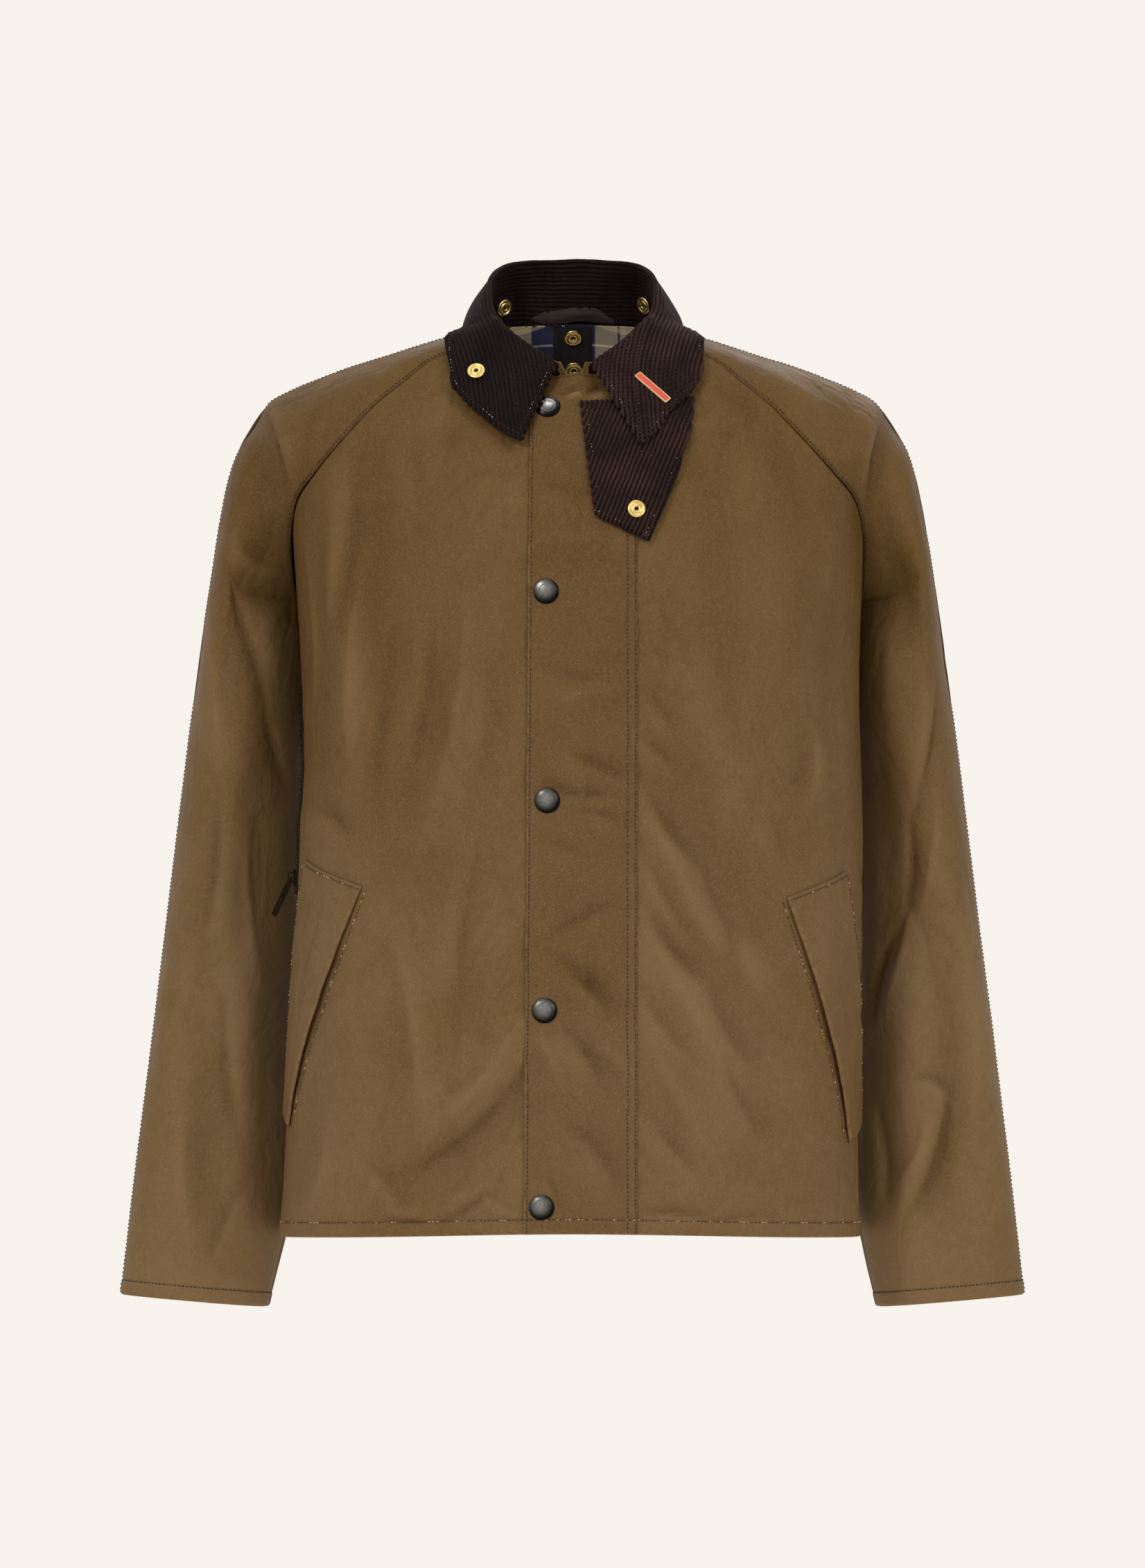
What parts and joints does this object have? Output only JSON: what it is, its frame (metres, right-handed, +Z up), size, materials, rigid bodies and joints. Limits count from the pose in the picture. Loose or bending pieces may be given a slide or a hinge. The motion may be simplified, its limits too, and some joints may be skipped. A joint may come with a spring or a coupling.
{
  "type": "waxed cotton jacket",
  "caption": "Short waxed cotton jacket with raglan sleeves, a corduroy collar and a studded storm flap, filled out and hollow as if worn.",
  "frame": {"origin": "middle of the neck opening, level with the points where shoulder meets neck", "axes": "+Z up towards the collar, -Y towards the front of the jacket, +X to the wearer's left"},
  "size_m": [0.6544, 0.2696, 0.758],
  "materials": {
    "waxed_cotton": "waxed",
    "corduroy": "ribbed",
    "check_lining": "matte",
    "black_tape": "matte",
    "loop_cloth": "matte",
    "brass": "polished",
    "gunmetal": "satin",
    "enamel": "gloss",
    "bronze": "antique"
  },
  "bodies": {
    "jacket": {"front_right": "waxed_cotton", "front_left": "waxed_cotton", "back": "waxed_cotton", "sleeve_right_front": "waxed_cotton", "sleeve_right_back": "waxed_cotton", "sleeve_left_front": "waxed_cotton", "sleeve_left_back": "waxed_cotton", "storm_flap": "waxed_cotton", "pocket_welt_right": "waxed_cotton", "pocket_welt_left": "waxed_cotton", "collar": "corduroy", "throat_tab": "corduroy", "neck_lining": "check_lining", "neck_tape": "black_tape", "hanger_loop": "loop_cloth", "press_stud_1": "gunmetal", "press_stud_2": "gunmetal", "press_stud_3": "gunmetal", "press_stud_4": "gunmetal", "press_stud_5": "gunmetal", "collar_socket": "brass", "hood_stud_1": "brass", "hood_stud_2": "brass", "tape_stud_1": "brass", "tape_stud_2": "brass", "tab_stud": "brass", "collar_pin": "enamel", "side_zip": "black_tape", "side_zip_slider": "bronze"},
    "side_zip_pull": {"side_zip_pull": "bronze"}
  },
  "joints": [
    {"name": "side_zip_pull_hinge", "type": "hinge", "parent": "jacket", "child": "side_zip_pull", "pos_m": [-0.2027, -0.00709, -0.388], "axis": [-0.0385, 0.9993, 0], "range_deg": [-20, 100]}
  ]
}
